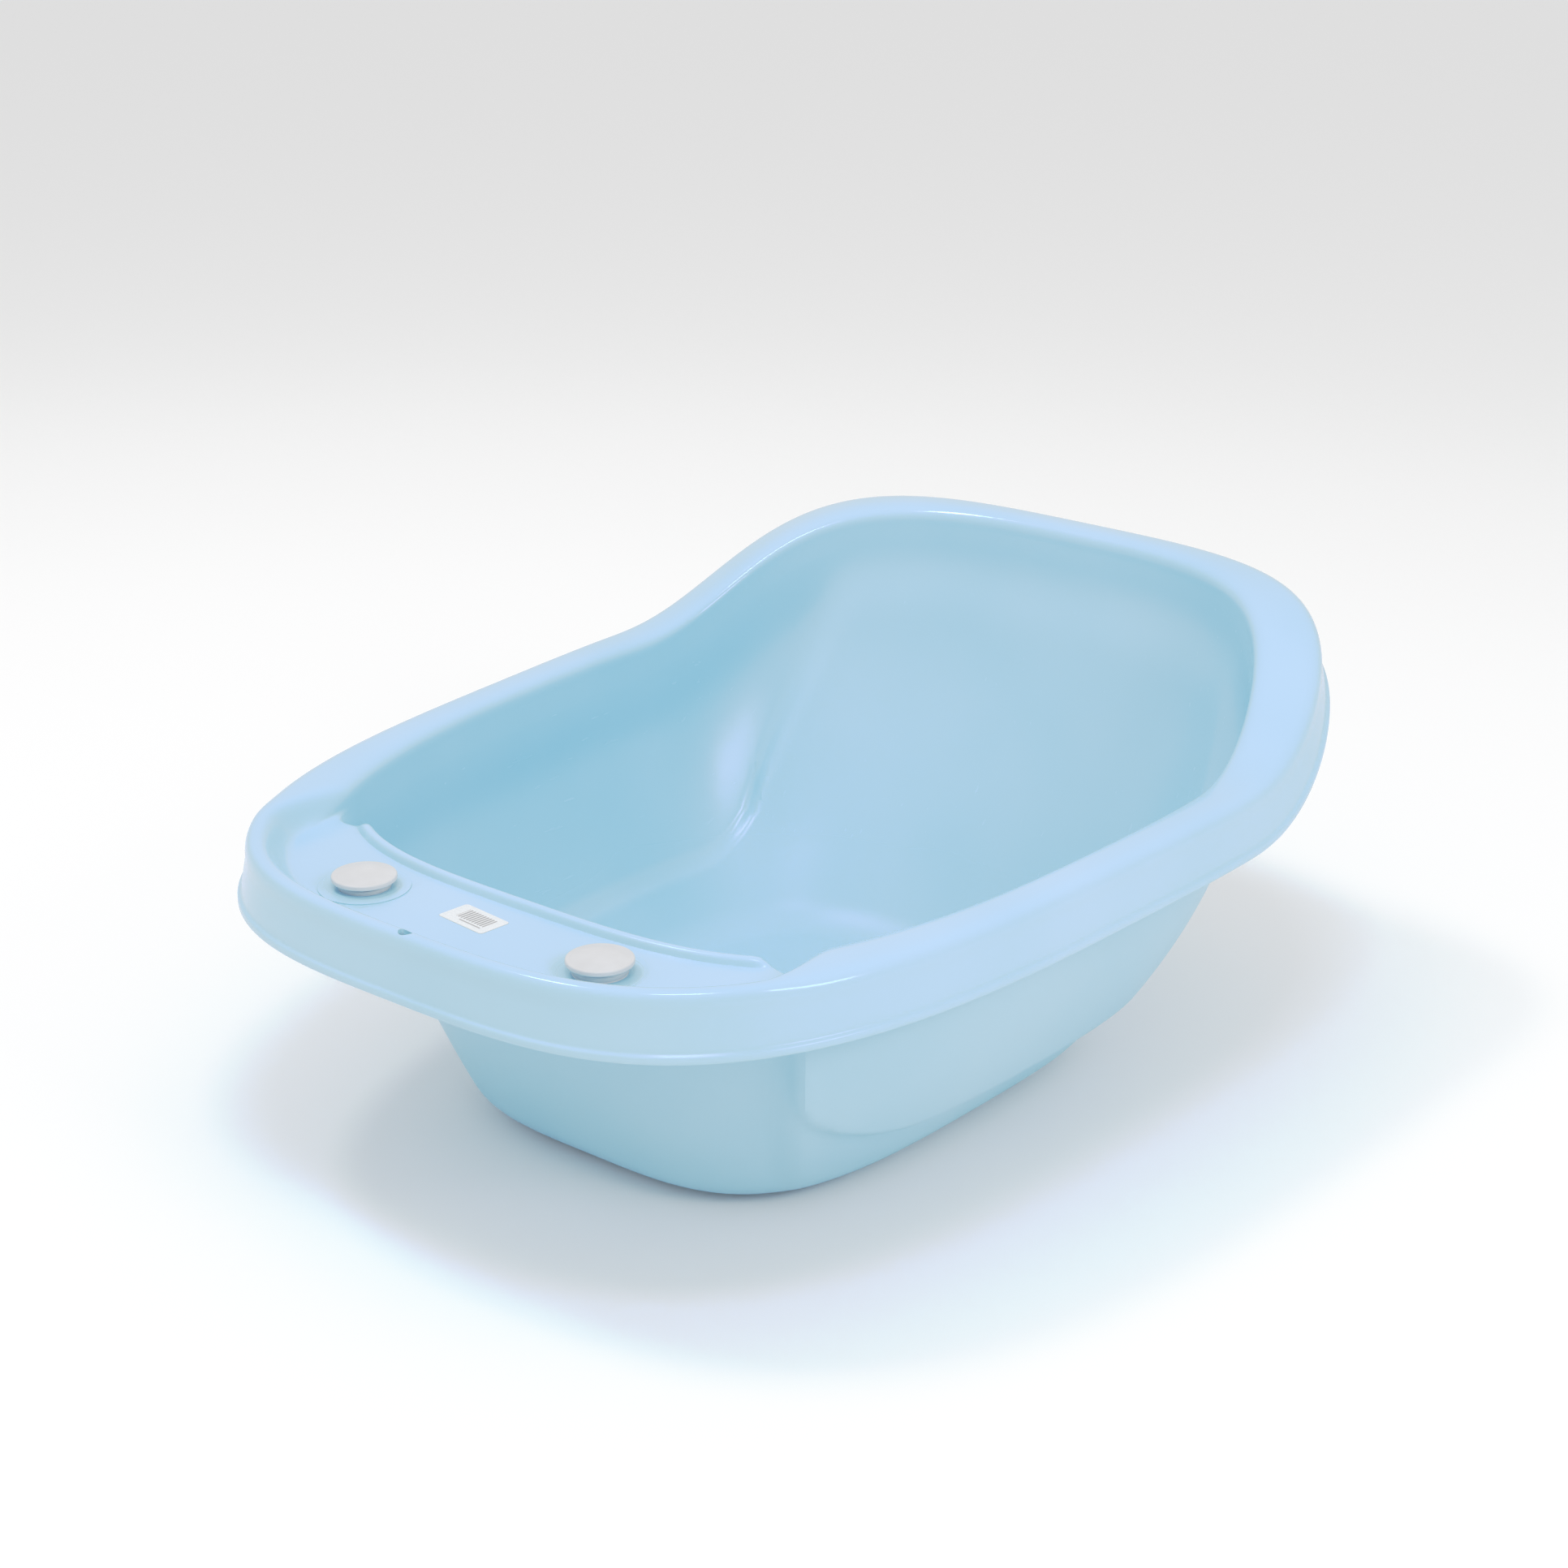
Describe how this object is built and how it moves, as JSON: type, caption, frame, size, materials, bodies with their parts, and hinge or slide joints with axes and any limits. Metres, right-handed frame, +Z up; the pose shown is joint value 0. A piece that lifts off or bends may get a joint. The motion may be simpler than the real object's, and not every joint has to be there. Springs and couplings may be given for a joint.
{
  "type": "baby bathtub",
  "caption": "Oval baby bathtub with a sloped backrest, raised head-end rim, flared lip, and a foot-end shelf with white push-in plugs.",
  "frame": {"origin": "middle of the overall footprint, at the height of the surface the tub stands on", "axes": "+X along the tub towards the head end, +Y across it, +Z up"},
  "size_m": [0.77, 0.5879, 0.3176],
  "materials": {
    "tub_plastic": "light blue polypropylene, glossy inside, satin outside",
    "plug_plastic": "white moulded plastic, soft gloss",
    "seal": "grey soft silicone",
    "label": "white sticker, matt"
  },
  "bodies": {
    "tub": {"tub_shell": "tub_plastic", "left_plug_collar": "plug_plastic", "right_plug_collar": "plug_plastic", "label": "label"},
    "left_plug": {"left_plug_cap": "plug_plastic", "left_seal_ring": "seal"},
    "right_plug": {"right_plug_cap": "plug_plastic", "right_seal_ring": "seal"}
  },
  "joints": [
    {"name": "left_plug_lift", "type": "slide", "parent": "tub", "child": "left_plug", "axis": [0, 0, 1], "range_m": [0, 0.03]},
    {"name": "right_plug_lift", "type": "slide", "parent": "tub", "child": "right_plug", "axis": [0, 0, 1], "range_m": [0, 0.03]}
  ]
}
